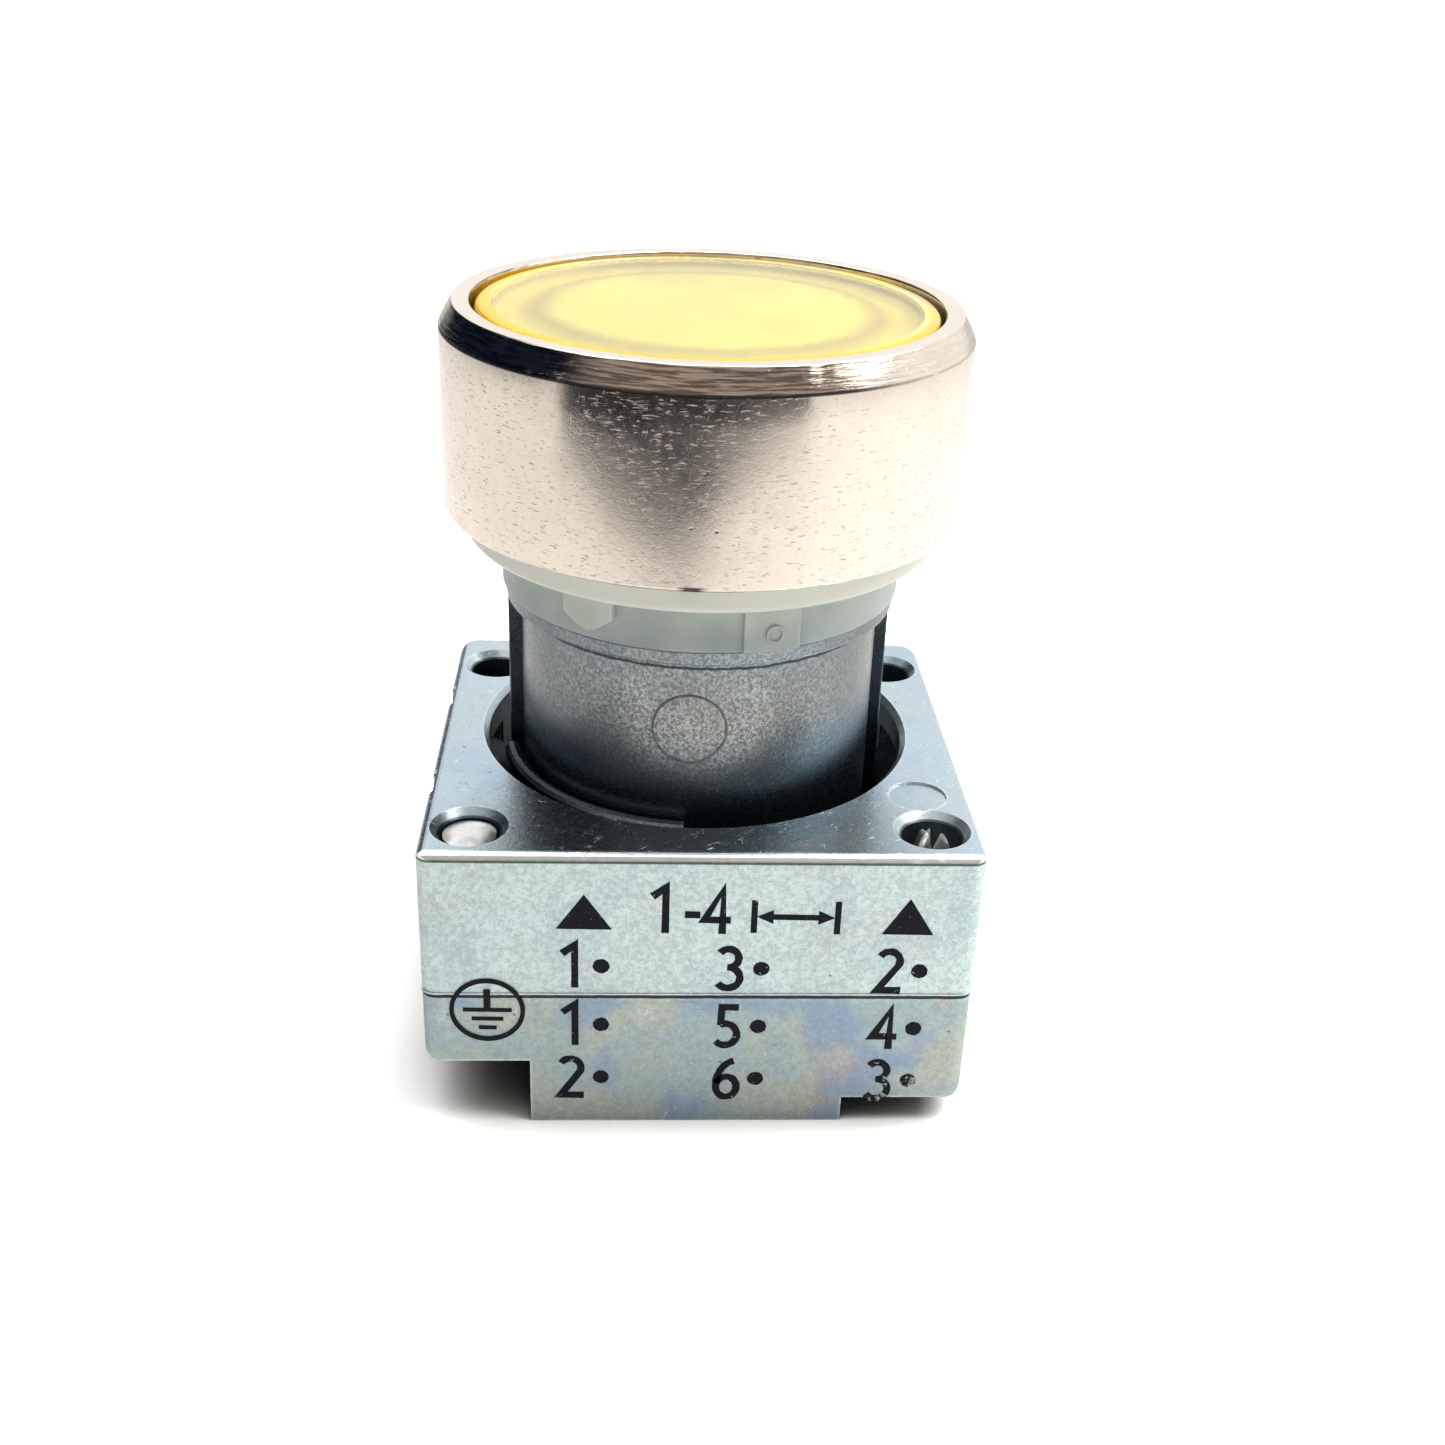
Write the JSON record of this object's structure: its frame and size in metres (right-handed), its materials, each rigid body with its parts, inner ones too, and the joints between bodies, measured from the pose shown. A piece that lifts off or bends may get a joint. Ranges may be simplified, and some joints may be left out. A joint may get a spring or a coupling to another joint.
{
  "type": "illuminated push button",
  "caption": "Flush illuminated push button with a metal front ring and yellow lens for a 22 mm panel hole, standing in its die-cast zinc holder.",
  "frame": {"origin": "on the button's axis, in the plane where the gasket's flange meets the front of the panel", "axes": "+Z out of the panel towards the user, -Y towards the holder's printed front face, +X to the right when the print is read upright"},
  "size_m": [0.0294, 0.0292, 0.0417],
  "materials": {
    "nickel_ring": "satin nickel plate",
    "gasket_rubber": "milky translucent elastomer",
    "sleeve_zinc": "as-cast zinc, fine speckle",
    "spring_steel": "drawn spring steel",
    "dark_rubber": "matt black rubber",
    "ivory_plastic": "matt moulded plastic",
    "yellow_lens": "clear yellow, polished",
    "pale_diffuser": "milky, light-scattering",
    "holder_zinc": "passivated zinc casting, tinted",
    "ring_zinc": "as-cast zinc",
    "zinc_steel": "zinc-plated steel",
    "brass": "turned brass"
  },
  "bodies": {
    "holder": {"holder_body": "holder_zinc", "lock_ring": "ring_zinc", "left_latch_spring": "spring_steel", "right_latch_spring": "spring_steel", "earth_screw": "brass", "earth_washer": "brass"},
    "head": {"front_ring": "nickel_ring", "panel_gasket": "gasket_rubber", "head_sleeve": "sleeve_zinc", "neck_clip": "spring_steel", "sleeve_o_ring": "dark_rubber", "diaphragm_seal": "dark_rubber", "guide_bush": "ivory_plastic", "return_spring": "spring_steel"},
    "button": {"button_lens": "yellow_lens", "diffuser_disc": "pale_diffuser", "button_carrier": "ivory_plastic", "plunger_clip": "spring_steel", "pusher_bar": "ivory_plastic"},
    "left_screw": {"left_clamp_screw": "zinc_steel"},
    "right_screw": {"right_clamp_screw": "zinc_steel"}
  },
  "joints": [
    {"name": "head_lift", "type": "slide", "parent": "holder", "child": "head", "axis": [0, 0, 1], "range_m": [0, 0.02]},
    {"name": "button_press", "type": "slide", "parent": "head", "child": "button", "axis": [0, 0, -1], "range_m": [0, 0.0036], "stiffness_N_per_m": 600, "springref_m": -0.003, "deforming": ["return_spring", "diaphragm_seal"]},
    {"name": "left_screw_rise", "type": "slide", "parent": "holder", "child": "left_screw", "axis": [0, 0, 1], "range_m": [0, 0.009]},
    {"name": "right_screw_rise", "type": "slide", "parent": "holder", "child": "right_screw", "axis": [0, 0, 1], "range_m": [0, 0.009]}
  ]
}
